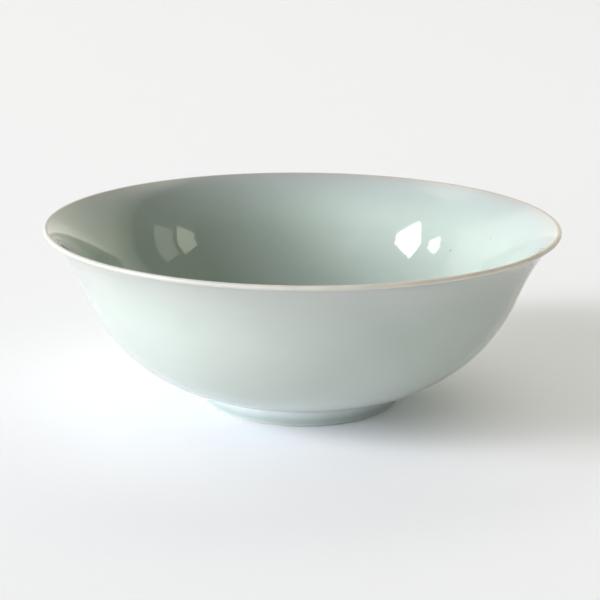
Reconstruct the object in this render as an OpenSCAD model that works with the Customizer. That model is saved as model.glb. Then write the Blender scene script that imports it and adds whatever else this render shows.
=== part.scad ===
/* [Bowl] */
// Diameter of the bowl across its rim
rim_diameter = 150; // [142:0.5:160]
// Height from the table to the top of the rim
bowl_height = 53.7; // [50:0.1:58]

/* [Curve of the wall] */
// Steepness where the wall leaves the foot, against the mean steepness from foot to rim
foot_steepness_share = 0.083; // [0.05:0.001:0.13]
// Steepness where the belly passes into the flare, against that mean
wall_steepness_share = 2.46; // [2.1:0.02:2.9]
// Steepness of the flare at the lip, against that mean
lip_steepness_share = 0.66; // [0.55:0.01:0.85]
// Place of the belly's end on the way out from foot to lip
belly_end_run_share = 0.756; // [0.73:0.002:0.78]
// Place of the belly's end on the way up from foot to lip
belly_end_rise_share = 0.611; // [0.58:0.001:0.64]
// How far out the curve keeps to the slope of the foot
foot_handle_share = 0.288; // [0.22:0.002:0.36]
// How far down the curve keeps to the slope at the belly's end
belly_handle_share = 0.357; // [0.3:0.001:0.4]
// How far up the curve keeps to that slope
flare_handle_share = 0.189; // [0.14:0.001:0.24]
// How far in the curve keeps to the slope of the lip
lip_handle_share = 0.091; // [0.05:0.001:0.13]

/* [Wall] */
// Thickness of the wall at the lip, with its coats of glaze
lip_thickness = 1.4; // [1.2:0.05:2]
// Thickness of the wall over the foot, with its coats of glaze
floor_thickness = 4.4; // [3.8:0.1:5.4]

/* [Foot] */
// Diameter of the foot's outside, at the table
foot_diameter = 58.6; // [54:0.2:62]
// How far the foot's outside draws in from the table to the wall, on each side
foot_draft = 0.3; // [0:0.05:0.8]
// Height of the foot's outside, from the table to the wall
foot_height = 5.4; // [5:0.1:6.5]
// Thickness of the foot at the table, glaze included
foot_thickness = 3.6; // [3:0.1:5]
// How much thicker the foot is at its root than at the table
root_thickening = 1; // [0.4:0.1:2]
// Width of the bevels beside the foot's bearing edge
bevel_width = 0.4; // [0.2:0.05:0.7]
// Height of those bevels
bevel_height = 0.6; // [0.3:0.05:1]

/* [Glaze] */
// Thickness of the glaze on the wall and the foot
glaze_thickness = 0.4; // [0.3:0.05:0.5]
// Thickness of the glaze over the lip
lip_glaze_thickness = 0.12; // [0.08:0.01:0.2]
// Depth under the rim over which the glaze thins towards the lip
thinning_depth = 4; // [2:0.5:8]
// Height of the bare strip between the foot's bevels and its glaze
bare_strip = 0.4; // [0.2:0.1:1]
// Radius of the glaze that pools in the corner between wall and foot
pool_radius = 0.9; // [0.6:0.1:1.4]

/* [Hidden] */
$fn = 128;
// Longest straight step along a long curve of the profile
curve_step = 2.2;
// Steps round the lip, and round the pooled glaze in a corner
lip_steps = 12;
pool_steps = 6;

clay_colour = [0.87, 0.85, 0.79];
bare_colour = [0.72, 0.66, 0.58];
outside_colour = [0.74, 0.79, 0.78];
inside_colour = [0.70, 0.78, 0.74];
lip_colour = [0.86, 0.84, 0.77];

// Profile points are [distance from the axis, height, slope in degrees]

// A point moved across its line by a depth, to the line's left
function inset(point, depth) =
    [point[0] - depth * sin(point[2]), point[1] + depth * cos(point[2])];

// A cubic curve from one point to another, with a handle beside each
function cubic(start, start_handle, end_handle, end) =
    let (first = start_handle - start)
    let (second = end_handle - start_handle)
    let (third = end - end_handle)
    let (steps = ceil((norm(first) + norm(second) + norm(third)) / curve_step))
    [for (i = [0:steps])
        let (t = i / steps)
        let (u = 1 - t)
        let (way = u * u * first + 2 * u * t * second + t * t * third)
        let (place = u * u * u * start + 3 * u * u * t * start_handle
            + 3 * u * t * t * end_handle + t * t * t * end)
        [place[0], place[1], atan2(way[1], way[0])]];

// The points of an arc round a centre, between two bearings
function round_points(centre, radius, from, to, steps) =
    [for (i = [0:steps])
        let (bearing = from + (to - from) * i / steps)
        centre + radius * [cos(bearing), sin(bearing)]];

function last(line) = line[len(line) - 1];
function rest(line) = [for (i = [1:len(line) - 1]) line[i]];
function reversed(line) = [for (i = [len(line) - 1:-1:0]) line[i]];
function flat_points(line) = [for (point = line) [point[0], point[1]]];

// Outside of the wall: one curve for the belly and one for the flare under the lip
foot_radius = foot_diameter / 2;
rim_radius = rim_diameter / 2;
lip_radius = lip_thickness / 2;
wall_start = [foot_radius - foot_draft, foot_height];
mean_steepness = (bowl_height - wall_start[1]) / (rim_radius - wall_start[0]);
foot_slope = atan(foot_steepness_share * mean_steepness);
wall_slope = atan(wall_steepness_share * mean_steepness);
lip_slope = atan(lip_steepness_share * mean_steepness);
wall_end = [
    rim_radius - lip_radius * (1 - sin(lip_slope)),
    bowl_height - lip_radius * (1 + cos(lip_slope))
];
wall_run = wall_end[0] - wall_start[0];
wall_rise = wall_end[1] - wall_start[1];
belly_end = wall_start + [belly_end_run_share * wall_run, belly_end_rise_share * wall_rise];
foot_handle = wall_start + foot_handle_share * wall_run * [1, tan(foot_slope)];
belly_handle = belly_end - belly_handle_share * wall_rise * [1 / tan(wall_slope), 1];
flare_handle = belly_end + flare_handle_share * wall_rise * [1 / tan(wall_slope), 1];
lip_handle = wall_end - lip_handle_share * wall_run * [1, tan(lip_slope)];
belly_curve = cubic(wall_start, foot_handle, belly_handle, belly_end);
flare_curve = cubic(belly_end, flare_handle, lip_handle, wall_end);
wall_line = concat(belly_curve, rest(flare_curve));

// Thickness of the whole wall, which thins ever faster towards the lip, and of its glaze
function depth_below_lip(point) = wall_end[1] - point[1];
function wall_at(point) =
    let (share = 1 - depth_below_lip(point) / wall_rise)
    floor_thickness - (floor_thickness - lip_thickness) * share * share;
function glaze_at(point) =
    let (share = min(1, depth_below_lip(point) / thinning_depth))
    lip_glaze_thickness + (glaze_thickness - lip_glaze_thickness) * share;

outer_clay = [for (point = wall_line) inset(point, glaze_at(point))];
inner_clay = [for (point = wall_line) inset(point, wall_at(point) - glaze_at(point))];
inner_skin = [for (point = wall_line) inset(point, wall_at(point))];

// Floor of the bowl: an arc that is level on the axis and runs on into the inside of the wall
function floor_line(edge) =
    let (radius = edge[0] / sin(foot_slope))
    let (steps = ceil(edge[0] / curve_step))
    [for (i = [0:steps])
        let (slope = foot_slope * i / steps)
        [radius * sin(slope), edge[1] - radius * (cos(slope) - cos(foot_slope))]];
floor_clay = floor_line(inner_clay[0]);
floor_skin = floor_line(inner_skin[0]);

// Lip: a round of half the wall's thickness over the end of the wall
lip_centre = inset(last(wall_line), lip_radius);
lip_skin = round_points(lip_centre, lip_radius, lip_slope - 90, lip_slope + 90, lip_steps);
lip_clay = round_points(
    lip_centre, lip_radius - lip_glaze_thickness, lip_slope - 90, lip_slope + 90, lip_steps);

// Foot: a ring whose top is the floor's clay underside
joint_height = outer_clay[0][1];
draft_angle = atan(foot_draft / foot_height);
ring_outside = foot_radius - glaze_thickness;
ring_inside = foot_radius - foot_thickness + glaze_thickness;
function ring_outside_at(height) = ring_outside - foot_draft * height / foot_height;
function ring_inside_at(height) = ring_inside - root_thickening * height / foot_height;
root_angle = atan(root_thickening / foot_height);
glaze_end = bevel_height + bare_strip;
full_glaze_height = glaze_end + glaze_thickness;

// Pooled glaze in the corner between the wall's outside and the foot
corner_angle = 90 + foot_slope - draft_angle;
corner_reach = pool_radius / tan(corner_angle / 2);
pool_start = wall_start + corner_reach * [cos(foot_slope), sin(foot_slope)];
pool_centre = pool_start + pool_radius * [sin(foot_slope), -cos(foot_slope)];
pool = round_points(pool_centre, pool_radius, 90 + foot_slope, 180 + draft_angle, pool_steps);

// Pooled glaze in the corner between the floor's underside and the foot
well_height = joint_height - glaze_thickness;
well_radius = ring_inside_at(well_height) - glaze_thickness;
well_reach = pool_radius / tan((90 + root_angle) / 2);
well_centre = [well_radius - well_reach, well_height - pool_radius];
well_pool = round_points(well_centre, pool_radius, 90, root_angle, pool_steps);

// The turned porcelain wall and floor
module bowl_wall() {
    color(clay_colour)
    rotate_extrude()
    polygon(concat(
        [[0, joint_height]],
        outer_clay,
        rest(lip_clay),
        rest(reversed(inner_clay)),
        rest(reversed(floor_clay))
    ));
}

// The porcelain ring under the floor, bare where it stands on the table
module foot_ring() {
    color(bare_colour)
    rotate_extrude()
    polygon([
        [ring_inside_at(joint_height), joint_height],
        [ring_inside_at(bevel_height), bevel_height],
        [ring_inside_at(0) + bevel_width, 0],
        [ring_outside_at(0) - bevel_width, 0],
        [ring_outside_at(bevel_height), bevel_height],
        [ring_outside_at(joint_height), joint_height]
    ]);
}

// The coat on the outside, from the lip down over the step and the foot
module outside_glaze() {
    color(outside_colour)
    rotate_extrude()
    polygon(concat(
        [[ring_outside_at(joint_height), joint_height],
         [ring_outside_at(glaze_end), glaze_end],
         [ring_outside_at(glaze_end) + lip_glaze_thickness, glaze_end],
         [ring_outside_at(full_glaze_height) + glaze_thickness, full_glaze_height]],
        reversed(pool),
        flat_points(rest(wall_line)),
        reversed(outer_clay)
    ));
}

// The coat on the inside, from the lip down across the floor
module inside_glaze() {
    color(inside_colour)
    rotate_extrude()
    polygon(concat(
        floor_clay,
        rest(inner_clay),
        reversed(inner_skin),
        rest(reversed(floor_skin))
    ));
}

// The thin coat round the lip
module lip_glaze() {
    color(lip_colour)
    rotate_extrude()
    polygon(concat(lip_skin, reversed(lip_clay)));
}

// The coat inside the foot, on the floor's underside and the ring's inner face
module foot_well_glaze() {
    color(outside_colour)
    rotate_extrude()
    polygon(concat(
        [[0, joint_height], [0, well_height]],
        well_pool,
        [[ring_inside_at(full_glaze_height) - glaze_thickness, full_glaze_height],
         [ring_inside_at(glaze_end) - lip_glaze_thickness, glaze_end],
         [ring_inside_at(glaze_end), glaze_end],
         [ring_inside_at(joint_height), joint_height]]
    ));
}

bowl_wall();
foot_ring();
outside_glaze();
inside_glaze();
lip_glaze();
foot_well_glaze();
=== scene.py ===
"""Builds the looks of a celadon-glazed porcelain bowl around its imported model.

The bowl is one fired piece: a turned wall on a foot ring, under coats of glaze. The foot and each coat are
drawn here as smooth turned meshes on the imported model's own outlines. The clay wall under the glaze stays as
it is. Lengths are in metres, angles in degrees, and the slopes and rounds of outlines in radians. +Z is up
along the bowl's axis, and -Y faces the camera.
"""

import logging
import math
from dataclasses import dataclass
from enum import Enum

import bmesh
import bpy
from mathutils import Matrix, Vector


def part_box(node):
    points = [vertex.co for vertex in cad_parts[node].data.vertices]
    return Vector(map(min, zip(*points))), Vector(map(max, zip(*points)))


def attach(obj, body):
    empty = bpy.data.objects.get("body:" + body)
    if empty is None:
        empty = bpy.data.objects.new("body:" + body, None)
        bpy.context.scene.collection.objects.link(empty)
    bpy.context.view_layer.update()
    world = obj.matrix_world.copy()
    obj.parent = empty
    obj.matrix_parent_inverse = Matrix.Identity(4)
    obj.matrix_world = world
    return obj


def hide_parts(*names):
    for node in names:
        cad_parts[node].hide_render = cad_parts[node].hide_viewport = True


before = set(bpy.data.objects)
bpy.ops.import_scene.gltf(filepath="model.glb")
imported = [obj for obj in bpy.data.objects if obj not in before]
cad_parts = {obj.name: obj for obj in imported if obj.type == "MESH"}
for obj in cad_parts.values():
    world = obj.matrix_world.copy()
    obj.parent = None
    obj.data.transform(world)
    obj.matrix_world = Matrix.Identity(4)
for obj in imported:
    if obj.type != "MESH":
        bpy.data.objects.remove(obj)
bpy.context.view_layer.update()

log = logging.getLogger("bowl")

Colour = tuple[float, float, float]
Place = tuple[float, float, float]
Value = bpy.types.NodeSocket | float | tuple[float, ...]

ORIGIN: Place = (0.0, 0.0, 0.0)
UP: Place = (0.0, 0.0, 1.0)
TOWARDS_CAMERA: Place = (0.0, -1.0, 0.0)
MM_PER_M = 1000.0


@dataclass(frozen=True)
class OutlinePoint:
    """A point of a turned outline.

    Attributes:
        radius: Distance from the bowl's axis.
        height: Height over the table.
        slope: Slope of the outline there, in radians from level.
    """

    radius: float
    height: float
    slope: float = 0.0

    def inset(self, depth: float) -> "OutlinePoint":
        """Returns the point moved across its outline by a depth, to the outline's left."""
        out, up = -depth * math.sin(self.slope), depth * math.cos(self.slope)
        return self.beside(out, up)

    def beside(self, out: float, up: float) -> "OutlinePoint":
        """Returns the point that lies so far out and so far up from this one."""
        return OutlinePoint(self.radius + out, self.height + up, self.slope)


def cubic_line(
    start: OutlinePoint, start_handle: OutlinePoint, end_handle: OutlinePoint, end: OutlinePoint, step: float
) -> list[OutlinePoint]:
    """Samples a cubic curve between two points.

    Args:
        start: First point of the curve.
        start_handle: Handle beside the first point.
        end_handle: Handle beside the last point.
        end: Last point of the curve.
        step: Longest distance wanted between neighbouring samples.

    Returns:
        The samples from start to end, each with its slope.
    """
    knots = [Vector((knot.radius, knot.height)) for knot in (start, start_handle, end_handle, end)]
    first, second, third = (knots[i + 1] - knots[i] for i in range(3))
    count = math.ceil((first.length + second.length + third.length) / step)
    line = []
    for i in range(count + 1):
        t = i / count
        u = 1.0 - t
        place = u**3 * knots[0] + 3 * u * u * t * knots[1] + 3 * u * t * t * knots[2] + t**3 * knots[3]
        way = u * u * first + 2 * u * t * second + t * t * third
        line.append(OutlinePoint(place.x, place.y, math.atan2(way.y, way.x)))
    return line


@dataclass(frozen=True)
class BowlShape:
    """Sizes of the bowl, and the outlines that follow from them.

    The names are those of the part's own sizes, with radii in place of its diameters. The last three are the
    scene's own.

    Attributes:
        rim_radius: Radius of the rim.
        bowl_height: Height of the rim over the table.
        foot_radius: Radius of the foot's outside at the table.
        foot_draft: How far the foot's outside draws in on its way up to the wall.
        foot_height: Height of the foot's outside.
        foot_thickness: Thickness of the foot at the table, glaze included.
        root_thickening: How much thicker the foot is at its root.
        bevel_width: Radius of the round bevels beside the foot's bearing edge.
        bevel_height: Height up to which the foot's sides stand straight.
        lip_thickness: Thickness of the whole wall at the lip.
        floor_thickness: Thickness of the whole wall over the foot.
        glaze_thickness: Thickness of the glaze on the wall and the foot.
        lip_glaze_thickness: Thickness of the glaze over the lip.
        thinning_depth: Depth under the lip over which the glaze thins.
        pool_radius: Radius of the glaze that pools in a corner.
        foot_steepness_share: Steepness where the wall leaves the foot, against the mean steepness.
        wall_steepness_share: Steepness where the belly passes into the flare, against the mean.
        lip_steepness_share: Steepness of the flare at the lip, against the mean.
        belly_end_run_share: Place of the belly's end on the way out from foot to lip.
        belly_end_rise_share: Its place on the way up.
        foot_handle_share: How far out the curve keeps to the slope at the foot.
        belly_handle_share: How far down from the belly's end it keeps to the slope there.
        flare_handle_share: How far up it keeps to that slope.
        lip_handle_share: How far in it keeps to the slope at the lip.
        glaze_end: Height over the table down to which the foot is glazed.
        skin_step: Longest step along the glaze's skin.
        clay_step: Longest step along the clay under it.
    """

    rim_radius: float
    bowl_height: float
    foot_radius: float = 0.0293
    foot_draft: float = 0.0003
    foot_height: float = 0.0054
    foot_thickness: float = 0.0036
    root_thickening: float = 0.001
    bevel_width: float = 0.0004
    bevel_height: float = 0.0006
    lip_thickness: float = 0.0014
    floor_thickness: float = 0.0044
    glaze_thickness: float = 0.0004
    lip_glaze_thickness: float = 0.00012
    thinning_depth: float = 0.004
    pool_radius: float = 0.0009
    foot_steepness_share: float = 0.083
    wall_steepness_share: float = 2.46
    lip_steepness_share: float = 0.66
    belly_end_run_share: float = 0.756
    belly_end_rise_share: float = 0.611
    foot_handle_share: float = 0.288
    belly_handle_share: float = 0.357
    flare_handle_share: float = 0.189
    lip_handle_share: float = 0.091
    glaze_end: float = 0.0003
    skin_step: float = 0.00055
    clay_step: float = 0.0022

    @property
    def wall_start(self) -> OutlinePoint:
        """The corner where the wall's outside leaves the foot."""
        slope = self.slope_of(self.foot_steepness_share)
        return OutlinePoint(self.foot_radius - self.foot_draft, self.foot_height, slope)

    @property
    def wall_end(self) -> OutlinePoint:
        """The end of the wall's outside, where the round of the lip begins."""
        slope = self.slope_of(self.lip_steepness_share)
        round_radius = self.lip_thickness / 2
        return OutlinePoint(
            self.rim_radius - round_radius * (1 - math.sin(slope)),
            self.bowl_height - round_radius * (1 + math.cos(slope)),
            slope,
        )

    @property
    def joint_height(self) -> float:
        """Height of the clay joint between the floor and the foot ring."""
        return self.wall_start.inset(self.glaze_thickness).height

    def slope_of(self, steepness_share: float) -> float:
        """Returns the slope, in radians, of a share of the mean steepness from foot to rim."""
        run = self.rim_radius - (self.foot_radius - self.foot_draft)
        return math.atan(steepness_share * (self.bowl_height - self.foot_height) / run)

    def wall_line(self, step: float) -> list[OutlinePoint]:
        """Draws the wall's outside, from the foot to the lip.

        Args:
            step: Longest distance wanted between neighbouring points.

        Returns:
            The points of the belly's curve and of the flare's, in one line.
        """
        start, end = self.wall_start, self.wall_end
        run, rise = end.radius - start.radius, end.height - start.height
        wall_slope = self.slope_of(self.wall_steepness_share)
        belly_end = start.beside(self.belly_end_run_share * run, self.belly_end_rise_share * rise)
        foot_reach = self.foot_handle_share * run
        belly_drop = self.belly_handle_share * rise
        flare_reach = self.flare_handle_share * rise
        lip_reach = self.lip_handle_share * run
        belly = cubic_line(
            start,
            start.beside(foot_reach, foot_reach * math.tan(start.slope)),
            belly_end.beside(-belly_drop / math.tan(wall_slope), -belly_drop),
            belly_end,
            step,
        )
        flare = cubic_line(
            belly_end,
            belly_end.beside(flare_reach / math.tan(wall_slope), flare_reach),
            end.beside(-lip_reach, -lip_reach * math.tan(end.slope)),
            end,
            step,
        )
        return belly + flare[1:]

    def wall_depth(self, point: OutlinePoint) -> float:
        """Returns the whole wall's thickness at a point of its outside."""
        share = (point.height - self.wall_start.height) / (self.wall_end.height - self.wall_start.height)
        return self.floor_thickness - (self.floor_thickness - self.lip_thickness) * share * share

    def glaze_depth(self, point: OutlinePoint) -> float:
        """Returns the glaze's thickness at a point of the wall's outside."""
        share = min(1.0, (self.wall_end.height - point.height) / self.thinning_depth)
        return self.lip_glaze_thickness + (self.glaze_thickness - self.lip_glaze_thickness) * share

    def inside_line(self, under_glaze: bool) -> list[OutlinePoint]:
        """Draws the inside of the bowl, from the axis to the lip.

        Args:
            under_glaze: Whether the line is the clay's, under the glaze, or the glaze's own skin.

        Returns:
            The points of the floor, which is level on the axis, and of the wall's inside.
        """
        step = self.clay_step if under_glaze else self.skin_step
        wall = []
        for point in self.wall_line(step):
            depth = self.wall_depth(point)
            wall.append(point.inset(depth - self.glaze_depth(point) if under_glaze else depth))
        edge = wall[0]
        radius = edge.radius / math.sin(edge.slope)
        count = math.ceil(edge.radius / step)
        floor = []
        for i in range(count):
            slope = edge.slope * i / count
            drop = radius * (math.cos(slope) - math.cos(edge.slope))
            floor.append(OutlinePoint(radius * math.sin(slope), edge.height - drop, slope))
        return floor + wall

    def ring_outside(self, height: float) -> float:
        """Returns the clay foot ring's outside radius at a height."""
        return self.foot_radius - self.glaze_thickness - self.foot_draft * height / self.foot_height

    def ring_inside(self, height: float) -> float:
        """Returns the clay foot ring's inside radius at a height."""
        inside = self.foot_radius - self.foot_thickness + self.glaze_thickness
        return inside - self.root_thickening * height / self.foot_height


def spin(
    mesh: bmesh.types.BMesh, moved: list[bmesh.types.BMVert | bmesh.types.BMEdge], centre: Place, axis: Place,
    angle: float, steps: int,
) -> dict[str, list]:
    """Spins some of a mesh about an axis, so that points leave edges behind them, and edges faces.

    Args:
        mesh: The mesh.
        moved: The vertices and edges to spin.
        centre: A point of the axis.
        axis: Direction of the axis.
        angle: How far they go round, in radians. A whole turn ends on its own start.
        steps: Number of steps in the spin.

    Returns:
        What the operator made, with the vertices and edges where the spin ends as geom_last.
    """
    return bmesh.ops.spin(
        mesh, geom=moved, cent=centre, axis=axis, dvec=ORIGIN, angle=angle, steps=steps,
        use_merge=angle == math.tau, use_duplicate=False,
    )


def turn_outline(mesh: bmesh.types.BMesh, turns: int, merge_distance: float) -> None:
    """Turns an outline in the XZ plane once round the Z axis.

    Args:
        mesh: The mesh, which holds only the outline.
        turns: Number of faces round the axis.
        merge_distance: Distance within which points become one, as those on the axis do.
    """
    spin(mesh, mesh.verts[:] + mesh.edges[:], ORIGIN, UP, math.tau, turns)
    bmesh.ops.remove_doubles(mesh, verts=mesh.verts[:], dist=merge_distance)


def finished_object(mesh: bmesh.types.BMesh, name: str) -> bpy.types.Object:
    """Makes an object of a mesh and puts it in the scene.

    Args:
        mesh: The mesh, which is freed.
        name: Name of the object and its mesh.

    Returns:
        The object, at the origin.
    """
    data = bpy.data.meshes.new(name)
    mesh.to_mesh(data)
    mesh.free()
    thing = bpy.data.objects.new(name, data)
    bpy.context.scene.collection.objects.link(thing)
    return thing


class TurningPen:
    """Draws an outline point by point in the XZ plane, and turns it round the bowl's axis into a mesh.

    Attributes:
        turns: Number of faces round the axis.
        crease: Angle between two faces, in radians, from which the edge between them is sharp.
        merge_distance: Distance within which points become one.
    """

    turns: int = 360
    crease: float = math.radians(35)
    merge_distance: float = 1e-7

    def __init__(self, start: OutlinePoint) -> None:
        """Starts an outline.

        Args:
            start: The outline's first point.
        """
        self.mesh = bmesh.new()
        self.first = self.mesh.verts.new((start.radius, 0.0, start.height))
        self.last = self.first

    def line_to(self, *points: OutlinePoint) -> "TurningPen":
        """Goes on to one point after another, in straight lines.

        Args:
            points: The points, in the order of the outline.

        Returns:
            This pen.
        """
        for point in points:
            made = bmesh.ops.extrude_vert_indiv(self.mesh, verts=[self.last])
            self.last = made["verts"][0]
            self.last.co = (point.radius, 0.0, point.height)
        return self

    def round(self, centre: OutlinePoint, angle: float, steps: int) -> "TurningPen":
        """Goes on round a centre.

        Args:
            centre: The centre of the round.
            angle: How far it goes round, in radians, anticlockwise with the bowl's axis on the left.
            steps: Number of straight steps in the round.

        Returns:
            This pen.
        """
        middle = (centre.radius, 0.0, centre.height)
        made = spin(self.mesh, [self.last], middle, TOWARDS_CAMERA, angle, steps)
        self.last = next(item for item in made["geom_last"] if isinstance(item, bmesh.types.BMVert))
        return self

    def close(self) -> "TurningPen":
        """Joins the last point to the first, and returns this pen."""
        bmesh.ops.contextual_create(self.mesh, geom=[self.last, self.first])
        return self

    def turn(self, name: str) -> bpy.types.Object:
        """Turns the outline once round the axis.

        Args:
            name: Name of the new object and its mesh.

        Returns:
            The object, at the origin, with smooth faces and sharp corners.
        """
        turn_outline(self.mesh, self.turns, self.merge_distance)
        bmesh.ops.recalc_face_normals(self.mesh, faces=self.mesh.faces[:])
        for face in self.mesh.faces:
            face.smooth = True
        for edge in self.mesh.edges:
            edge.smooth = not edge.is_manifold or edge.calc_face_angle() < self.crease
        return finished_object(self.mesh, name)


class Detail(Enum):
    """How many finer layers a noise texture has over its coarsest one."""

    SMOOTH = 1.0
    SOFT = 2.0
    CLOUDY = 3.0
    MOTTLED = 4.0


class Passage(Enum):
    """How a value goes from one end of its range to the other."""

    SMOOTH = "SMOOTHSTEP"
    STRAIGHT = "LINEAR"


class Blend(Enum):
    """What the second of two colours does to the first."""

    COVER = "MIX"
    TINT = "MULTIPLY"


class NodeSheet:
    """A node tree that is filled node by node.

    Attributes:
        noise_roughness: Strength of each finer layer of a noise texture, against the one before.
        noise_low: Value over which nearly all of a noise texture lies.
        noise_high: Value under which nearly all of it lies.
    """

    noise_roughness: float = 0.55
    noise_low: float = 0.3
    noise_high: float = 0.7

    def __init__(self, tree: bpy.types.NodeTree) -> None:
        """Empties a node tree.

        Args:
            tree: The tree of a material or of the world.
        """
        self.tree = tree
        tree.nodes.clear()

    def add(self, kind: str, **settings: str) -> bpy.types.Node:
        """Adds a node.

        Args:
            kind: The node's type, without its leading word ShaderNode.
            settings: Values for the node's own properties.

        Returns:
            The node.
        """
        node = self.tree.nodes.new("ShaderNode" + kind)
        for key, value in settings.items():
            setattr(node, key, value)
        return node

    def feed(self, node: bpy.types.Node, **inputs: Value) -> bpy.types.Node:
        """Sets or links a node's inputs.

        Args:
            node: The node.
            inputs: A value or another node's output for each input, under the input's name in lower case with
                underscores for its spaces, or under the word slot and the input's number.

        Returns:
            The node.
        """
        for key, value in inputs.items():
            if key.startswith("slot"):
                socket = node.inputs[int(key.removeprefix("slot"))]
            else:
                named = (item for item in node.inputs if item.name.lower().replace(" ", "_") == key)
                socket = next(item for item in named if item.enabled)
            if isinstance(value, bpy.types.NodeSocket):
                self.tree.links.new(value, socket)
            else:
                socket.default_value = value
        return node

    def place(self) -> bpy.types.NodeSocket:
        """Returns the place on the object, from its origin."""
        return self.add("TexCoord").outputs["Object"]

    def parts(self, vector: bpy.types.NodeSocket) -> bpy.types.bpy_prop_collection:
        """Returns the three parts of a vector."""
        return self.feed(self.add("SeparateXYZ"), slot0=vector).outputs

    def length(self, vector: bpy.types.NodeSocket) -> bpy.types.NodeSocket:
        """Returns the length of a vector."""
        return self.feed(self.add("VectorMath", operation="LENGTH"), slot0=vector).outputs["Value"]

    def noise(self, place: bpy.types.NodeSocket, scale: float, detail: Detail) -> bpy.types.NodeSocket:
        """Returns the output of a noise texture, from 0 to 1, at a scale in cells per metre."""
        node = self.add("TexNoise")
        self.feed(node, vector=place, scale=scale, detail=detail.value, roughness=self.noise_roughness)
        return node.outputs[0]

    def remap(
        self, value: bpy.types.NodeSocket, low: float, high: float, to_low: float, to_high: float,
        passage: Passage = Passage.SMOOTH,
    ) -> bpy.types.NodeSocket:
        """Spreads one range of a value onto another.

        Args:
            value: The value.
            low: Start of the value's range.
            high: End of the value's range.
            to_low: Result at the start.
            to_high: Result at the end.
            passage: How the result runs between the two.

        Returns:
            The result.
        """
        node = self.add("MapRange", interpolation_type=passage.value)
        self.feed(node, slot0=value, slot1=low, slot2=high, slot3=to_low, slot4=to_high)
        return node.outputs[0]

    def spread(self, noise: bpy.types.NodeSocket, low: float, high: float) -> bpy.types.NodeSocket:
        """Returns a noise texture's output spread from a low value to a high one."""
        return self.remap(noise, self.noise_low, self.noise_high, low, high)

    def math(self, operation: str, first: Value, second: Value) -> bpy.types.NodeSocket:
        """Returns the result of a sum or another operation on two values."""
        return self.feed(self.add("Math", operation=operation), slot0=first, slot1=second).outputs[0]

    def mix(
        self, share: Value, first: Value, second: Value, blend: Blend = Blend.COVER
    ) -> bpy.types.NodeSocket:
        """Blends two colours.

        Args:
            share: Share of the second colour.
            first: The first colour.
            second: The second colour.
            blend: The way of blending.

        Returns:
            The blended colour.
        """
        node = self.add("Mix", data_type="RGBA", blend_type=blend.value)
        self.feed(node, slot0=share, slot6=first, slot7=second)
        return node.outputs[2]

    def bump(self, height: bpy.types.NodeSocket, depth: float) -> bpy.types.NodeSocket:
        """Returns the normals of a surface with dents of a depth."""
        return self.feed(self.add("Bump"), strength=1.0, distance=depth, height=height).outputs[0]

    def show(self, surface: bpy.types.Node) -> None:
        """Ends a material's nodes with the one that makes its surface."""
        self.feed(self.add("OutputMaterial"), surface=surface.outputs[0])


def new_material(name: str) -> tuple[bpy.types.Material, NodeSheet]:
    """Makes an empty material.

    Args:
        name: Name of the material.

    Returns:
        The material and its sheet of nodes.
    """
    made = bpy.data.materials.new(name)
    made.use_nodes = True
    return made, NodeSheet(made.node_tree)


def opaque(colour: Colour) -> tuple[float, float, float, float]:
    """Returns a colour with full cover, as a socket takes it."""
    return (*colour, 1.0)


@dataclass(frozen=True)
class Band:
    """The colour of a glaze at a height over the table."""

    height: float
    colour: Colour


@dataclass(frozen=True)
class Speck:
    """A tiny iron spot that has come up through the glaze."""

    place: Place
    radius: float


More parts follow.
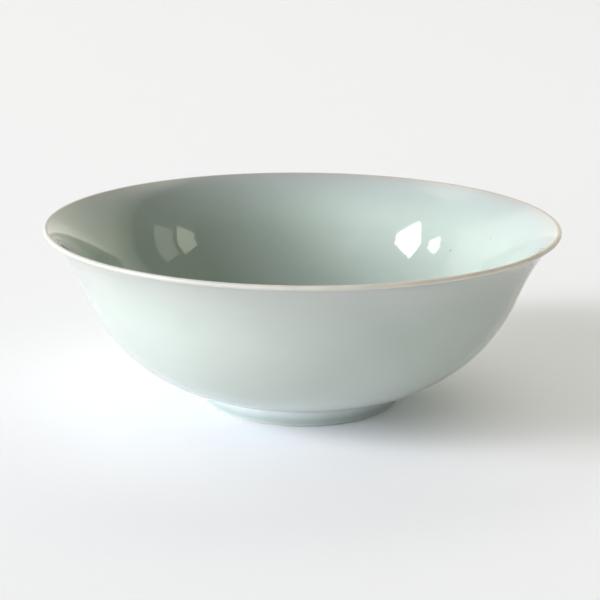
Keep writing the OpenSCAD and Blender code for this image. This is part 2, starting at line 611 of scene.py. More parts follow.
@dataclass(frozen=True)
class GlazeFinish:
    """A glossy celadon glaze coloured by its thickness, from the foot's pool to the thin lip, and by painted
    light and shade.

    Attributes:
        name: Name of the material.
        bands: Colours by height, lowest first.
        specks: Iron spots at places of their own.
        roughness: Roughness of the glaze's skin.
        gloss_patches: Patches of gloss to each cloud of colour, along a line.
        gloss_low: Share of the roughness in the glossiest patches.
        gloss_high: Share of it in the dullest.
        cloud_scale: Clouds of colour per metre.
        cloud_depth: How far the clouds lighten or darken the glaze, as a share.
        wander: How far the bands wander up and down.
        wander_scale: Waves of that wandering per metre.
        peel_scale: Dimples of the glaze's skin per metre.
        peel_depth: Depth of the dimples.
        speck_scale: Cells per metre in which fine specks may lie.
        speck_share: Share of those cells that hold one.
        speck_radius: Radius of the fine specks.
        speck_core: Share of a speck's radius within which it is darkest.
        speck_cover: Share of the speck's colour there.
        speck_colour: Colour of the specks.
        ior: Index of refraction of the glaze.
    """

    name: str
    bands: tuple[Band, ...]
    specks: tuple[Speck, ...] = ()
    roughness: float = 0.06
    gloss_patches: float = 3.0
    gloss_low: float = 0.9
    gloss_high: float = 1.15
    cloud_scale: float = 38.0
    cloud_depth: float = 0.025
    wander: float = 0.00025
    wander_scale: float = 90.0
    peel_scale: float = 420.0
    peel_depth: float = 0.000004
    speck_scale: float = 70.0
    speck_share: float = 0.06
    speck_radius: float = 0.00014
    speck_core: float = 0.5
    speck_cover: float = 0.7
    speck_colour: Colour = (0.21, 0.17, 0.11)
    ior: float = 1.54

    def material(self) -> bpy.types.Material:
        """Makes the glaze's material.

        Returns:
            The material.
        """
        made, sheet = new_material(self.name)
        place = sheet.place()
        colour = self.band_colour(sheet, place)
        clouds = sheet.noise(place, self.cloud_scale, Detail.CLOUDY)
        cloud = sheet.spread(clouds, 1.0 - self.cloud_depth, 1.0 + self.cloud_depth)
        grey = sheet.feed(sheet.add("CombineColor"), red=cloud, green=cloud, blue=cloud)
        colour = sheet.mix(1.0, colour, grey.outputs[0], Blend.TINT)
        colour = sheet.mix(self.specks_at(sheet, place), colour, opaque(self.speck_colour))
        dimples = sheet.noise(place, self.peel_scale, Detail.SMOOTH)
        patches = sheet.noise(place, self.cloud_scale * self.gloss_patches, Detail.SOFT)
        gloss = sheet.spread(patches, self.gloss_low, self.gloss_high)
        sheet.show(sheet.feed(
            sheet.add("BsdfPrincipled"),
            base_color=colour,
            roughness=sheet.math("MULTIPLY", gloss, self.roughness),
            ior=self.ior,
            normal=sheet.bump(dimples, self.peel_depth),
        ))
        return made

    def band_colour(self, sheet: NodeSheet, place: bpy.types.NodeSocket) -> bpy.types.NodeSocket:
        """Colours the glaze by height.

        Args:
            sheet: The material's nodes.
            place: The place on the bowl.

        Returns:
            The colour.
        """
        low, high = self.bands[0].height, self.bands[-1].height
        waves = sheet.noise(place, self.wander_scale, Detail.SOFT)
        wander = sheet.remap(waves, 0.0, 1.0, -self.wander, self.wander, Passage.STRAIGHT)
        height = sheet.math("ADD", sheet.parts(place)[2], wander)
        ramp = sheet.add("ValToRGB")
        sheet.feed(ramp, slot0=sheet.remap(height, low, high, 0.0, 1.0, Passage.STRAIGHT))
        stops = ramp.color_ramp.elements
        stops[0].position, stops[0].color = 0.0, opaque(self.bands[0].colour)
        stops[1].position, stops[1].color = 1.0, opaque(self.bands[-1].colour)
        for band in self.bands[1:-1]:
            stops.new((band.height - low) / (high - low)).color = opaque(band.colour)
        return ramp.outputs[0]

    def specks_at(self, sheet: NodeSheet, place: bpy.types.NodeSocket) -> bpy.types.NodeSocket:
        """Finds how far iron specks cover the glaze.

        Args:
            sheet: The material's nodes.
            place: The place on the bowl.

        Returns:
            The share of the speck's colour.
        """
        cells = sheet.feed(sheet.add("TexVoronoi"), vector=place, scale=self.speck_scale)
        size = self.speck_radius * self.speck_scale
        dot = sheet.remap(cells.outputs["Distance"], size * self.speck_core, size, 1.0, 0.0)
        chosen = sheet.feed(sheet.add("SeparateColor"), slot0=cells.outputs["Color"]).outputs[0]
        cover = sheet.math("MULTIPLY", dot, sheet.math("LESS_THAN", chosen, self.speck_share))
        for speck in self.specks:
            away = sheet.add("VectorMath", operation="DISTANCE")
            sheet.feed(away, slot0=place, slot1=speck.place)
            core = speck.radius * self.speck_core
            spot = sheet.remap(away.outputs["Value"], core, speck.radius, 1.0, 0.0)
            cover = sheet.math("MAXIMUM", cover, spot)
        return sheet.math("MULTIPLY", cover, self.speck_cover)


@dataclass(frozen=True)
class LipFinish(GlazeFinish):
    """The thin glaze of the lip, which lets more of the clay show on the +X side, with painted light
    lightening that shaded side.

    Attributes:
        rim_radius: Radius of the rim.
        bare_and_lit_side: Colour that the glaze takes on the +X side: clay showing, with painted light on that
            shaded side.
        bare_and_lit_from: Place along X at which that colour begins, as a share of that radius.
        bare_and_lit_to: Place at which it is at its fullest, as such a share.
        brown_shaded_inner_edge: Colour that the +X side takes along its inner edge, which faces the windows:
            brown clay, and painted shade.
        inner_depth: How far inside the rim that edge lies.
        inner_width: Width over which the edge's colour fades.
    """

    rim_radius: float = 0.075
    bare_and_lit_side: Colour = (0.72, 0.65, 0.55)
    bare_and_lit_from: float = -0.4
    bare_and_lit_to: float = 0.8
    brown_shaded_inner_edge: Colour = (0.33, 0.285, 0.22)
    inner_depth: float = 0.00108
    inner_width: float = 0.0006

    def band_colour(self, sheet: NodeSheet, place: bpy.types.NodeSocket) -> bpy.types.NodeSocket:
        """Colours the lip by height, by side and across its width, with painted light on the +X side and
        painted shade along its inner edge.

        Args:
            sheet: The material's nodes.
            place: The place on the bowl.

        Returns:
            The colour.
        """
        colour = super().band_colour(sheet, place)
        # Towards +X the lip turns to clay colour: partly the clay, partly painted light on the side away from
        # the windows.
        across = sheet.parts(place)[0]
        begin, end = self.bare_and_lit_from * self.rim_radius, self.bare_and_lit_to * self.rim_radius
        bare = sheet.remap(across, begin, end, 0.0, 1.0)
        colour = sheet.mix(bare, colour, opaque(self.bare_and_lit_side))
        # Dark brown along the inner edge on the +X side, which faces the windows: partly brown clay, partly
        # painted shade on that lit edge.
        level = sheet.add("VectorMath", operation="MULTIPLY")
        sheet.feed(level, slot0=place, slot1=(1.0, 1.0, 0.0))
        edge = self.rim_radius - self.inner_depth
        inner = sheet.remap(sheet.length(level.outputs[0]), edge, edge + self.inner_width, 1.0, 0.0)
        return sheet.mix(sheet.math("MULTIPLY", inner, bare), colour, opaque(self.brown_shaded_inner_edge))


@dataclass(frozen=True)
class ClayFinish:
    """Bare fired porcelain with the fine rings of the turning tool.

    Attributes:
        name: Name of the material.
        pale: Colour where the clay stayed clean.
        toasted: Colour where the kiln toasted it.
        toast_scale: Toasted patches per metre.
        toast_low: Value of their noise under which the clay is clean.
        toast_high: Value over which it is toasted.
        ring_scale: Turning rings per metre.
        ring_depth: Depth of the rings.
        ring_wobble: How far the rings wobble, in radians of their wave.
        wave_factor: Radians of that wave to a metre, at a scale of 1 of Blender's own texture.
        grain_scale: Grains per metre.
        grain_share: How far the grains darken the clay.
        smoothest: Lowest roughness of the clay.
        roughest: Highest roughness of the clay.
    """

    name: str
    pale: Colour
    toasted: Colour
    toast_scale: float = 160.0
    toast_low: float = 0.35
    toast_high: float = 0.65
    ring_scale: float = 1216.0
    ring_depth: float = 0.00001
    ring_wobble: float = 0.6
    wave_factor: float = 20.0
    grain_scale: float = 1800.0
    grain_share: float = 0.18
    smoothest: float = 0.55
    roughest: float = 0.75

    def material(self) -> bpy.types.Material:
        """Makes the clay's material.

        Returns:
            The material.
        """
        made, sheet = new_material(self.name)
        place = sheet.place()
        patches = sheet.noise(place, self.toast_scale, Detail.MOTTLED)
        toast = sheet.remap(patches, self.toast_low, self.toast_high, 0.0, 1.0)
        colour = sheet.mix(toast, opaque(self.pale), opaque(self.toasted))
        grain = sheet.noise(place, self.grain_scale, Detail.SOFT)
        colour = sheet.mix(self.grain_share, colour, grain, Blend.TINT)
        rings = sheet.add("TexWave", wave_type="RINGS", rings_direction="Z")
        sheet.feed(
            rings,
            vector=place,
            scale=self.ring_scale * math.tau / self.wave_factor,
            distortion=self.ring_wobble,
            detail=Detail.SMOOTH.value,
        )
        relief = sheet.math("ADD", rings.outputs["Fac"], grain)
        sheet.show(sheet.feed(
            sheet.add("BsdfPrincipled"),
            base_color=colour,
            roughness=sheet.spread(grain, self.smoothest, self.roughest),
            normal=sheet.bump(relief, self.ring_depth),
        ))
        return made


class Slot(Enum):
    """The record's material slots for the turned pieces."""

    BARE_PORCELAIN = "bare_porcelain"
    CELADON_OUTSIDE = "celadon_outside"
    CELADON_INSIDE = "celadon_inside"
    THIN_LIP_GLAZE = "thin_lip_glaze"


@dataclass
class TurnedPiece:
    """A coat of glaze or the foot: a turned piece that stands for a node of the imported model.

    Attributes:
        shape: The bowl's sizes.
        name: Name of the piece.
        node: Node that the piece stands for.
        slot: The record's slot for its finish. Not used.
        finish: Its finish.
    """

    shape: BowlShape
    name: str
    node: str
    slot: Slot
    finish: GlazeFinish | ClayFinish

    def outline(self) -> TurningPen:
        """Returns the pen that has drawn the piece's outline, ready to turn it."""
        raise NotImplementedError

    def build(self) -> None:
        """Turns, dresses and places the piece."""
        piece = self.outline().turn(self.name)
        piece.data.materials.append(self.finish.material())
        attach(piece, "root")
        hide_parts(self.node)
        heights = [vertex.co.z * MM_PER_M for vertex in piece.data.vertices]
        faces = len(piece.data.polygons)
        log.info("%s: %d faces, from %.2f to %.2f mm up", self.name, faces, min(heights), max(heights))


@dataclass
class OutsideCoat(TurnedPiece):
    """The celadon on the outside, from the lip down over the step and the foot.

    Attributes:
        pool_steps: Steps round the pool in the corner of the foot.
        bead_steps: Steps round the bead at the glaze's end.
    """

    pool_steps: int = 8
    bead_steps: int = 6

    def outline(self) -> TurningPen:
        """Draws the coat: up the clay, then down the glaze's skin, through the pool at the foot to its bead.

        Returns:
            The pen, ready to turn the outline.
        """
        shape = self.shape
        clay = [point.inset(shape.glaze_depth(point)) for point in shape.wall_line(shape.clay_step)]
        start = shape.wall_start
        draft = math.atan(shape.foot_draft / shape.foot_height)
        corner = math.pi / 2 + start.slope - draft
        reach = shape.pool_radius / math.tan(corner / 2)
        pool_start = start.beside(reach * math.cos(start.slope), reach * math.sin(start.slope))
        pool_centre = pool_start.inset(-shape.pool_radius)
        skin = [point for point in shape.wall_line(shape.skin_step) if point.radius > pool_start.radius]
        bead = shape.glaze_thickness
        bead_centre = OutlinePoint(shape.ring_outside(shape.glaze_end + bead), shape.glaze_end + bead)
        pen = TurningPen(OutlinePoint(shape.ring_outside(shape.glaze_end), shape.glaze_end))
        pen.line_to(OutlinePoint(shape.ring_outside(shape.joint_height), shape.joint_height), *clay)
        pen.line_to(*reversed(skin), pool_start).round(pool_centre, math.pi - corner, self.pool_steps)
        pen.line_to(bead_centre.beside(bead, 0.0)).round(bead_centre, -math.pi / 2, self.bead_steps)
        return pen.close()


@dataclass
class InsideCoat(TurnedPiece):
    """The celadon on the inside, from the lip down across the floor."""

    def outline(self) -> TurningPen:
        """Draws the coat: out and up the clay from the axis, then back down the glaze's skin.

        Returns:
            The pen, ready to turn the outline.
        """
        clay = self.shape.inside_line(under_glaze=True)
        skin = self.shape.inside_line(under_glaze=False)
        return TurningPen(clay[0]).line_to(*clay[1:]).line_to(*reversed(skin))


@dataclass
class LipCoat(TurnedPiece):
    """The thin coat round the lip.

    Attributes:
        lip_steps: Steps round the lip.
    """

    lip_steps: int = 14

    def outline(self) -> TurningPen:
        """Draws the coat: round the glaze's skin from the outside in, then back round the clay.

        Returns:
            The pen, ready to turn the outline.
        """
        end = self.shape.wall_end
        centre = end.inset(self.shape.lip_thickness / 2)
        inner = end.inset(self.shape.lip_thickness - self.shape.lip_glaze_thickness)
        pen = TurningPen(end).round(centre, math.pi, self.lip_steps)
        return pen.line_to(inner).round(centre, -math.pi, self.lip_steps).close()


@dataclass
class FootWellCoat(TurnedPiece):
    """The coat on the floor's underside and down the inner face of the foot.

    Attributes:
        pool_steps: Steps round the pool in the corner of the well.
        bead_steps: Steps round the bead at the glaze's end.
    """

    pool_steps: int = 8
    bead_steps: int = 6

    def outline(self) -> TurningPen:
        """Draws the coat: out under the floor, down the foot to its bead, and back up the clay.

        Returns:
            The pen, ready to turn the outline.
        """
        shape = self.shape
        top = shape.joint_height
        under = top - shape.glaze_thickness
        lean = math.atan(shape.root_thickening / shape.foot_height)
        reach = shape.pool_radius / math.tan((math.pi / 2 + lean) / 2)
        pool_reach = shape.ring_inside(under) - shape.glaze_thickness - reach
        pool_centre = OutlinePoint(pool_reach, under - shape.pool_radius)
        bead = shape.glaze_thickness
        bead_centre = OutlinePoint(shape.ring_inside(shape.glaze_end + bead), shape.glaze_end + bead)
        pen = TurningPen(OutlinePoint(0.0, under))
        pen.line_to(OutlinePoint(pool_reach / 2, under), OutlinePoint(pool_reach, under))
        pen.round(pool_centre, lean - math.pi / 2, self.pool_steps)
        pen.line_to(bead_centre.beside(-bead, 0.0)).round(bead_centre, math.pi / 2, self.bead_steps)
        return pen.line_to(OutlinePoint(shape.ring_inside(top), top), OutlinePoint(0.0, top))


@dataclass
class FootRing(TurnedPiece):
    """The bare porcelain ring that the bowl stands on.

    Attributes:
        bevel_steps: Steps round each bevel of the bearing edge.
    """

    bevel_steps: int = 5

    def outline(self) -> TurningPen:
        """Draws the ring: down its outside, round both bevels of its bearing edge, and up its inside.

        Returns:
            The pen, ready to turn the outline.
        """
        shape = self.shape
        top, side, bevel = shape.joint_height, shape.bevel_height, shape.bevel_width
        outside, inside = shape.ring_outside(side), shape.ring_inside(side)
        pen = TurningPen(OutlinePoint(shape.ring_outside(top), top))
        pen.line_to(OutlinePoint(outside, side), OutlinePoint(outside, bevel))
        pen.round(OutlinePoint(outside - bevel, bevel), -math.pi / 2, self.bevel_steps)
        pen.line_to(OutlinePoint(inside + bevel, 0.0))
        pen.round(OutlinePoint(inside + bevel, bevel), -math.pi / 2, self.bevel_steps)
        pen.line_to(OutlinePoint(inside, side), OutlinePoint(shape.ring_inside(top), top))
        return pen.close()


@dataclass(frozen=True)
class WindowPane:
    """A bright pane in a wall of the room, far enough off to light the whole bowl alike.

    Attributes:
        name: Name of the lamp.
        wall_bearing: Bearing in which the pane's wall is nearest, in degrees from -Y towards +X.
        left: Bearing of the pane's one upright edge.
        right: Bearing of its other upright edge.
        low: Height of its lower edge, as a share of the distance to the wall.
        high: Height of its upper edge, as a share of that distance.
        radiance: Brightness of the pane, where 1 is white.
        colour: Colour of its light.
        distance: Distance from the bowl to the pane's wall.
    """

    name: str
    wall_bearing: float
    left: float
    right: float
    low: float
    high: float
    radiance: float
    colour: Colour
    distance: float = 8.0

    def along_wall(self, bearing: float) -> float:
        """Returns how far along its wall, from the wall's nearest point, a bearing meets it."""
        return self.distance * math.tan(math.radians(bearing - self.wall_bearing))

    def build(self) -> None:
        """Hangs the pane's lamp in its wall."""
        bearing = math.radians(self.wall_bearing)
        toward = Vector((math.sin(bearing), -math.cos(bearing), 0.0))
        along = Vector((math.cos(bearing), math.sin(bearing), 0.0))
        left, right = self.along_wall(self.left), self.along_wall(self.right)
        lamp = bpy.data.lights.new(self.name, "AREA")
        lamp.shape = "RECTANGLE"
        lamp.size = abs(right - left)
        lamp.size_y = (self.high - self.low) * self.distance
        lamp.color = self.colour
        lamp.energy = math.pi * lamp.size * lamp.size_y * self.radiance
        hung = bpy.data.objects.new(self.name, lamp)
        hung.location = toward * self.distance + along * ((left + right) / 2)
        hung.location.z = (self.high + self.low) / 2 * self.distance
        hung.rotation_euler = toward.to_track_quat("Z", "Y").to_euler()
        bpy.context.scene.collection.objects.link(hung)
        log.info("%s: %.2f by %.2f m, %.0f W", self.name, lamp.size, lamp.size_y, lamp.energy)


@dataclass(frozen=True)
class WallLight:
    """How bright a side of the room is, where 1 is white.

    Attributes:
        horizon: Brightness by the horizon.
        low: Brightness of the walls' lower part.
        middle: Brightness of their middle.
        high: Brightness of their upper part.
        colour: Colour of the light.
    """

    horizon: float
    low: float
    middle: float
    high: float
    colour: Colour

    def shade(self, brightness: float) -> tuple[float, float, float, float]:
        """Returns the side's colour at a brightness."""
        return opaque(tuple(brightness * part for part in self.colour))


@dataclass(frozen=True)
class RoomShell:
    """The walls of the room as a dome of soft light: bright behind the bowl and dim round the camera.

    Bearings go from -Y, where the camera is, towards +X. All angles are in degrees.

    Attributes:
        radius: Radius of the dome.
        left_corner: Bearing at which the back begins on the left.
        right_corner: Bearing at which it begins on the right.
        right_edge: Width of the crisp part of that corner.
        right_edge_share: Share of the back's light that the crisp part brings.
        right_rise: Width over which the rest is reached.
        window_wall_end: Bearing at which the wall with the windows passes into the front.
        front_end: Bearing at which the front passes into the right.
        blend: Width of those two passages.
        back_blend: How far to either side the back's left and right light mix, as a share of the radius.
        horizon_top: Elevation up to which the light is that of the horizon.
        low_foot: Elevation from which it is that of the walls' lower part.
        low_top: Elevation up to which it is so.
        middle_foot: Elevation from which it is that of the walls' middle.
        middle_top: Elevation up to which it is so.
        high_foot: Elevation from which it is that of the walls' upper part.
        high_top: Elevation up to which it is so.
        ceiling: Elevation from which the dome is dark.
        zenith: Elevation straight overhead.
        back_left: Light of the back, on the left.
        back_right: Light of the back, on the right.
        window_wall: Light of the wall with the windows, on the left.
        front: Light of the left part of the camera's side.
        right: Light of the right.
        rings: Number of rings of faces.
        turns: Number of faces round.
        merge_distance: Distance within which points become one.
    """

    radius: float = 12.0
    left_corner: float = -103.5
    right_corner: float = 112.5
    right_edge: float = 4.5
    right_edge_share: float = 0.4
    right_rise: float = 24.0
    window_wall_end: float = -60.0
    front_end: float = -10.0
    blend: float = 50.0
    back_blend: float = 0.6
    horizon_top: float = 11.0
    low_foot: float = 14.0
    low_top: float = 26.0
    middle_foot: float = 32.0
    middle_top: float = 44.0
    high_foot: float = 50.0
    high_top: float = 58.0
    ceiling: float = 66.0
    zenith: float = 90.0
    back_left: WallLight = WallLight(horizon=1.1, low=1.35, middle=0.4, high=1.45, colour=(1.0, 1.0, 0.97))
    back_right: WallLight = WallLight(
        horizon=1.58, low=1.27, middle=1.25, high=1.45, colour=(1.0, 0.985, 0.84)
    )
    window_wall: WallLight = WallLight(horizon=0.4, low=0.3, middle=0.3, high=0.05, colour=(1.0, 0.95, 0.90))
    front: WallLight = WallLight(horizon=4.95, low=1.63, middle=0.97, high=0.5, colour=(1.0, 0.995, 1.0))
    right: WallLight = WallLight(horizon=0.1, low=0.04, middle=0.13, high=0.08, colour=(1.0, 0.92, 0.7))
    rings: int = 24
    turns: int = 96
    merge_distance: float = 0.001

    def build(self) -> None:
        """Builds the dome, out of the camera's sight."""
        mesh = bmesh.new()
        edge = mesh.verts.new((self.radius, 0.0, 0.0))
        spin(mesh, [edge], ORIGIN, TOWARDS_CAMERA, math.pi / 2, self.rings)
        turn_outline(mesh, self.turns, self.merge_distance)
        shell = finished_object(mesh, "room_shell")
        shell.data.materials.append(self.material())
        shell.visible_camera = False

    def material(self) -> bpy.types.Material:
        """Makes the light of the walls.

        Returns:
            The material.
        """
        made, sheet = new_material("room_light")
        way = sheet.feed(sheet.add("VectorMath", operation="NORMALIZE"), slot0=sheet.place())
        east, north, up = sheet.parts(way.outputs[0])
        elevation = sheet.math("MULTIPLY", sheet.math("ARCSINE", up, 0.0), 2 / math.pi)
        bearing = sheet.math("ARCTAN2", east, sheet.math("MULTIPLY", north, -1.0))
        colour = self.ramp(sheet, elevation, self.window_wall)
        for passage, light in ((self.window_wall_end, self.front), (self.front_end, self.right)):
            begin, end = math.radians(passage - self.blend / 2), math.radians(passage + self.blend / 2)
            share = sheet.remap(bearing, begin, end, 0.0, 1.0)
            colour = sheet.mix(share, colour, self.ramp(sheet, elevation, light))
        side = sheet.remap(east, -self.back_blend, self.back_blend, 0.0, 1.0)
        back_left = self.ramp(sheet, elevation, self.back_left)
        back_right = self.ramp(sheet, elevation, self.back_right)
        back = sheet.mix(side, back_left, back_right)
        past_left = sheet.math("LESS_THAN", bearing, math.radians(self.left_corner))
        corner = math.radians(self.right_corner)
        edge, rise = math.radians(self.right_edge), math.radians(self.right_rise)
        crisp = sheet.remap(bearing, corner, corner + edge, 0.0, self.right_edge_share)
        soft = sheet.remap(bearing, corner, corner + rise, 0.0, 1.0 - self.right_edge_share)
        past_right = sheet.math("ADD", crisp, soft)
        colour = sheet.mix(sheet.math("MAXIMUM", past_left, past_right), colour, back)
        sheet.show(sheet.feed(sheet.add("Emission"), color=colour, strength=1.0))
        return made

    def ramp(
        self, sheet: NodeSheet, elevation: bpy.types.NodeSocket, light: WallLight
    ) -> bpy.types.NodeSocket:
        """Spreads a side's light over the elevation.

        Args:
            sheet: The material's nodes.
            elevation: Elevation as a share of the way to the zenith.
            light: Light of the side.

        Returns:
            The colour.
        """
        ramp = sheet.feed(sheet.add("ValToRGB"), slot0=elevation)
        stops = ramp.color_ramp.elements
        places = (
            (self.horizon_top, light.horizon), (self.low_foot, light.low), (self.low_top, light.low),
            (self.middle_foot, light.middle), (self.middle_top, light.middle), (self.high_foot, light.high),
            (self.high_top, light.high), (self.ceiling, 0.0),
        )
        stops[0].position, stops[0].color = 0.0, light.shade(light.horizon)
        stops[1].position, stops[1].color = 1.0, light.shade(0.0)
        for angle, brightness in places:
            stops.new(angle / self.zenith).color = light.shade(brightness)
        return ramp.outputs[0]


@dataclass(frozen=True)
class PaperFloor:
    """The pale sheet that the bowl stands on.

    Attributes:
        radius: Radius of the sheet.
        sides: Number of straight edges round it.
        gap: How far it lies under the foot, so that the two do not share a plane.
        colour: Its colour.
        roughness: Its roughness.
        fibre_scale: Fibres per metre.
        fibre_share: How far the fibres darken it.
        lift: Share of its own pale light in what the eye and the glaze's gloss see of it, far from the bowl:
            painted light over the bowl's cast shadow.
        lift_from: Distance from the bowl's axis at which that light begins.
        lift_to: Distance at which it has its full share.
        lift_colour: Colour of that light.
    """

    radius: float = 6.0
    sides: int = 96
    gap: float = 0.00001
    colour: Colour = (0.915, 0.93, 0.965)
    roughness: float = 0.7
    fibre_scale: float = 900.0
    fibre_share: float = 0.03
    lift: float = 0.25
    lift_from: float = 0.034
    lift_to: float = 0.09
    lift_colour: Colour = (0.93, 0.90, 0.86)

    def build(self) -> None:
        """Lays the sheet."""
        mesh = bmesh.new()
        bmesh.ops.create_circle(mesh, cap_ends=True, segments=self.sides, radius=self.radius)
        bmesh.ops.translate(mesh, verts=mesh.verts[:], vec=(0.0, 0.0, -self.gap))
        paper = finished_object(mesh, "paper_floor")
        paper.data.materials.append(self.material())

    def material(self) -> bpy.types.Material:
        """Makes the paper's material.

        Returns:
            The material.
        """
        made, sheet = new_material("pale_paper")
        place = sheet.place()
        fibres = sheet.noise(place, self.fibre_scale, Detail.CLOUDY)
        colour = sheet.mix(self.fibre_share, opaque(self.colour), fibres, Blend.TINT)
        shader = sheet.feed(sheet.add("BsdfPrincipled"), base_color=colour, roughness=self.roughness)
        # The floor's own glow, seen only by the eye and by gloss and rising away from the foot: painted light
        # that lightens the bowl's cast shadow.
        glow = sheet.feed(sheet.add("Emission"), color=opaque(self.lift_colour), strength=1.0)
        path = sheet.add("LightPath").outputs
        glossy = sheet.math("MAXIMUM", path["Is Glossy Ray"], path["Is Transmission Ray"])
        seen = sheet.math("MAXIMUM", path["Is Camera Ray"], glossy)
        share = sheet.remap(sheet.length(place), self.lift_from, self.lift_to, 0.0, self.lift)
        sheet.show(sheet.feed(
            sheet.add("MixShader"),
            slot0=sheet.math("MULTIPLY", seen, share),
            slot1=shader.outputs[0],
            slot2=glow.outputs[0],
        ))
        return made


@dataclass(frozen=True)
class PaleBackdrop:
    """The plain pale world that shows past the edge of the floor.

    Attributes:
        colour: Its colour.
        strength: Its brightness, where 1 is white.
    """

    colour: Colour = (0.97, 0.97, 0.97)
    strength: float = 0.95

    def build(self) -> None:
        """Sets the world."""
        world = bpy.data.worlds.new("pale_backdrop")
        world.use_nodes = True
        sheet = NodeSheet(world.node_tree)
        light = sheet.feed(sheet.add("Background"), color=opaque(self.colour), strength=self.strength)
        sheet.feed(sheet.add("OutputWorld"), surface=light.outputs[0])
        bpy.context.scene.world = world


@dataclass(frozen=True)
class PhotoCamera:
    """The camera, where the photograph was taken from.

    Attributes:
        distance: Distance from the middle of the bowl's axis.
        elevation: Height angle over that point.
        roll: Turn about the line of sight.
        lens: Focal length in millimetres.
        sensor: Width of the sensor in millimetres.
        aim_right: How far right of the axis the camera points.
        aim_up: How far over the middle of the axis it points, across the line of sight.
        near: Distance from which it sees.
        far: Distance up to which it sees.
    """

    distance: float = 0.45
    elevation: float = 15.88
    roll: float = 0.4
    lens: float = 90.69
    sensor: float = 36.0
    aim_right: float = -0.00056
    aim_up: float = 0.0024
    near: float = 0.01
    far: float = 100.0

    def build(self, shape: BowlShape) -> None:
        """Sets up the camera.

        Args:
            shape: The bowl's sizes.
        """
        slant = math.radians(self.elevation)
        middle = Vector((0.0, 0.0, shape.bowl_height / 2))
        eye = middle + self.distance * Vector((0.0, -math.cos(slant), math.sin(slant)))
        raised = self.aim_up * Vector((0.0, math.sin(slant), math.cos(slant)))
        aim = middle + Vector((self.aim_right, 0.0, 0.0)) + raised
        camera = bpy.data.cameras.new("photo_camera")
        camera.lens, camera.sensor_width = self.lens, self.sensor
        camera.clip_start, camera.clip_end = self.near, self.far
        held = bpy.data.objects.new("photo_camera", camera)
        turn = (aim - eye).to_track_quat("-Z", "Y").to_matrix().to_4x4()
        held.matrix_world = Matrix.Translation(eye) @ turn @ Matrix.Rotation(math.radians(self.roll), 4, "Z")
        bpy.context.scene.collection.objects.link(held)
        bpy.context.scene.camera = held


CLAY = ClayFinish("fired_porcelain", pale=(0.72, 0.69, 0.60), toasted=(0.66, 0.61, 0.52))
BARE_FOOT = ClayFinish("bare_foot_porcelain", pale=(0.70, 0.70, 0.64), toasted=(0.64, 0.62, 0.55))

# Specks on the right of the inside, where the photograph shows them
IRON_SPECKS = (
    Speck(place=(0.04747, 0.03774, 0.03564), radius=0.0004),
    Speck(place=(0.05863, 0.02615, 0.0424), radius=0.0003),
)

DAYLIGHT: Colour = (0.94, 0.945, 1.0)
ROOM_LIGHT: Colour = (0.98, 1.0, 0.8)

# Bearings in which the two walls with windows are nearest
WINDOW_WALL = -96.2
FAR_WALL = 90.0

PANES = (
    WindowPane(
        "large_pane", WINDOW_WALL, left=-78.5, right=-62.4, low=0.13, high=0.81,
        radiance=26.0, colour=DAYLIGHT,
    ),
    WindowPane(
        "small_pane", WINDOW_WALL, left=-92.0, right=-84.5, low=0.14, high=0.552,
        radiance=12.0, colour=DAYLIGHT,
    ),
    WindowPane(
        "far_pane_near_wall", FAR_WALL, left=86.5, right=99.0, low=0.2, high=0.62,
        radiance=1.25, colour=ROOM_LIGHT,
    ),
    WindowPane(
        "far_pane", FAR_WALL, left=71.5, right=83.5, low=0.3, high=0.68,
        radiance=3.0, colour=ROOM_LIGHT,
    ),
)


def outside_glaze(shape: BowlShape) -> GlazeFinish:
    """Mixes the outside's glaze, whose bands at the foot and the low belly also hold painted shade, painted
    highlight and a painted reflection of the floor.

    Args:
        shape: The bowl's sizes.

    Returns:
        The finish.
    """
    # From the foot to the low belly these colours are partly the glaze's thickness and partly painted light
    # and shade. The dark band low on the foot is painted shade. The lighter bands and the bright edge band up
    # the foot are painted highlight. The pale bluish belly band over the foot, fading upward, is a painted
    # reflection of the floor.
    end, thick_and_shaded, thin = (0.50, 0.545, 0.51), (0.35, 0.425, 0.41), (0.59, 0.635, 0.625)
    pool, edge, belly = (0.58, 0.63, 0.63), (0.74, 0.78, 0.77), (0.585, 0.65, 0.645)
    fading_floor_reflection, body, under_lip = (0.495, 0.552, 0.525), (0.452, 0.505, 0.463), (0.48, 0.50, 0.465)
    foot, rim = shape.foot_height, shape.bowl_height
    shaded_band_from, shaded_band_to, thin_and_lit_height = 0.2 * foot, 0.33 * foot, 0.67 * foot
    pool_and_lit_middle, pool_edge_highlight_height, floor_reflection_from = 0.85 * foot, 0.97 * foot, 1.07 * foot
    floor_reflection_to, body_from, body_to = 2 * foot, 3 * foot, rim - 3 * shape.thinning_depth
    lip_foot = rim - 0.001
    return GlazeFinish("celadon_glaze_outside", (
        # Over the glaze's end: painted shade low on the foot, painted highlight up to the foot's top, then a
        # painted reflection of the floor over the low belly, fading into the body's colour.
        Band(shape.glaze_end, end),
        Band(shaded_band_from, thick_and_shaded),
        Band(shaded_band_to, thick_and_shaded),
        Band(thin_and_lit_height, thin),
        Band(pool_and_lit_middle, pool),
        Band(pool_edge_highlight_height, edge),
        Band(floor_reflection_from, belly),
        Band(floor_reflection_to, fading_floor_reflection),
        Band(body_from, body),
        Band(body_to, body),
        Band(lip_foot, under_lip),
    ))


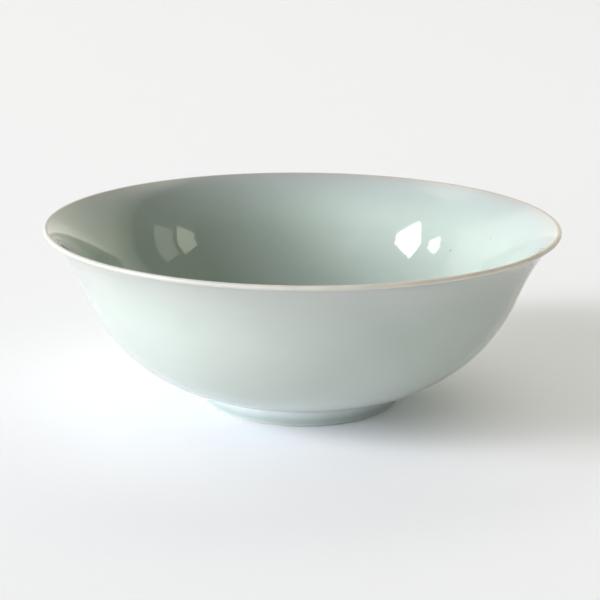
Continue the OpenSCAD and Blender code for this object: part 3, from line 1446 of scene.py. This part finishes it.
def inside_glaze(shape: BowlShape) -> GlazeFinish:
    """Mixes the inside's glaze.

    Args:
        shape: The bowl's sizes.

    Returns:
        The finish.
    """
    deep, body, paler = (0.44, 0.515, 0.44), (0.432, 0.512, 0.46), (0.405, 0.468, 0.442)
    thin, edge = (0.41, 0.452, 0.435), (0.435, 0.43, 0.40)
    floor, rim = shape.inside_line(under_glaze=False)[0].height, shape.bowl_height
    body_from, body_to = shape.foot_height + 2 * shape.floor_thickness, rim - 3 * shape.thinning_depth
    thin_line, edge_line = rim - 0.0015, rim - 0.0002
    return GlazeFinish("celadon_glaze_inside", (
        Band(floor, deep),
        Band(body_from, body),
        Band(body_to, body),
        Band(rim - shape.thinning_depth, paler),
        Band(thin_line, thin),
        Band(edge_line, edge),
    ), specks=IRON_SPECKS)


def lip_glaze(shape: BowlShape) -> LipFinish:
    """Mixes the thin glaze of the lip, through which the cream clay shows.

    Args:
        shape: The bowl's sizes.

    Returns:
        The finish.
    """
    cream, pale = (0.52, 0.515, 0.465), (0.50, 0.505, 0.465)
    return LipFinish(
        "thin_cream_glaze", (Band(shape.wall_end.height, pale), Band(shape.bowl_height, cream)),
        roughness=0.35, cloud_scale=120.0, cloud_depth=0.04, ior=1.42, rim_radius=shape.rim_radius,
    )


def main() -> None:
    """Builds the bowl's pieces and the studio round them."""
    logging.basicConfig(level=logging.INFO, format="%(message)s")
    low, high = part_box("lip_glaze")
    shape = BowlShape(rim_radius=min(-low.x, -low.y, high.x, high.y), bowl_height=high.z)
    outside, inside, lip = outside_glaze(shape), inside_glaze(shape), lip_glaze(shape)
    pieces = (
        OutsideCoat(shape, "celadon_outside_coat", "outside_glaze", Slot.CELADON_OUTSIDE, outside),
        InsideCoat(shape, "celadon_inside_coat", "inside_glaze", Slot.CELADON_INSIDE, inside),
        LipCoat(shape, "cream_lip_coat", "lip_glaze", Slot.THIN_LIP_GLAZE, lip),
        FootWellCoat(shape, "celadon_foot_well_coat", "foot_well_glaze", Slot.CELADON_OUTSIDE, outside),
        FootRing(shape, "bare_foot_ring", "foot_ring", Slot.BARE_PORCELAIN, BARE_FOOT),
    )
    for piece in pieces:
        piece.build()
    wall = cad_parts["bowl_wall"]
    wall.data.materials.clear()
    wall.data.materials.append(CLAY.material())
    log.info("bowl_wall: kept from the packed model")
    PhotoCamera().build(shape)
    PaleBackdrop().build()
    RoomShell().build()
    PaperFloor().build()
    for pane in PANES:
        pane.build()
    bpy.context.scene.view_settings.view_transform = "Standard"


if __name__ == "__main__":
    main()
